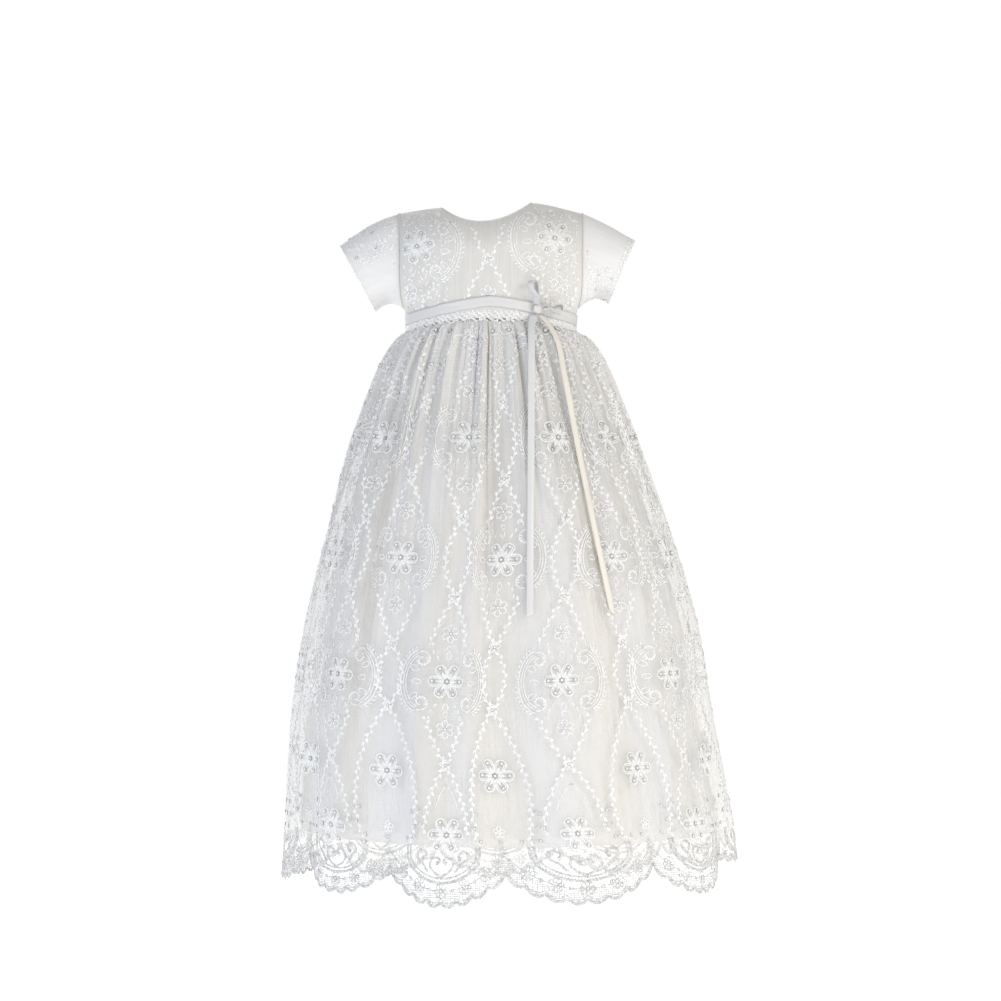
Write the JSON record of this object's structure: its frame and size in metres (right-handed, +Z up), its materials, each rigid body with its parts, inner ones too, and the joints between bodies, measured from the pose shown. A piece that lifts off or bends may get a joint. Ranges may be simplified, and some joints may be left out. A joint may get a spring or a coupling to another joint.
{
  "type": "christening gown",
  "caption": "Baby's christening gown with short set-in sleeves, a ribbon belt with a bow, and a long gathered skirt of scalloped embroidered net over a lining.",
  "frame": {"origin": "midway between the shoulders, at the height where the wearer's shoulders hold the gown up", "axes": "+Z up along the gown, -Y to the front, +X to the viewer's right when facing the front"},
  "size_m": [0.4538, 0.3701, 0.6888],
  "materials": {
    "lined_net": "fine embroidered net mounted on a softly creased ivory satin lining",
    "embroidered_net": "fine sheer net with white satin-thread embroidery and clear sequins",
    "lining": "plain ivory satin, soft sheen",
    "satin_ribbon": "narrow double-faced satin ribbon",
    "pearl_button": "small domed pearl-look buttons"
  },
  "bodies": {
    "root": {"bodice_front": "lined_net", "bodice_back_left": "lined_net", "bodice_back_right": "lined_net", "sleeve_left": "lined_net", "sleeve_right": "lined_net", "skirt_net_front": "embroidered_net", "skirt_net_back": "embroidered_net", "skirt_lining_front": "lining", "skirt_lining_back": "lining", "waist_ribbon": "satin_ribbon", "bow_knot": "satin_ribbon", "bow_loop_left": "satin_ribbon", "bow_loop_right": "satin_ribbon", "ribbon_tail_straight": "satin_ribbon", "ribbon_tail_slanted": "satin_ribbon", "button_1": "pearl_button", "button_2": "pearl_button", "button_3": "pearl_button"}
  },
  "joints": []
}
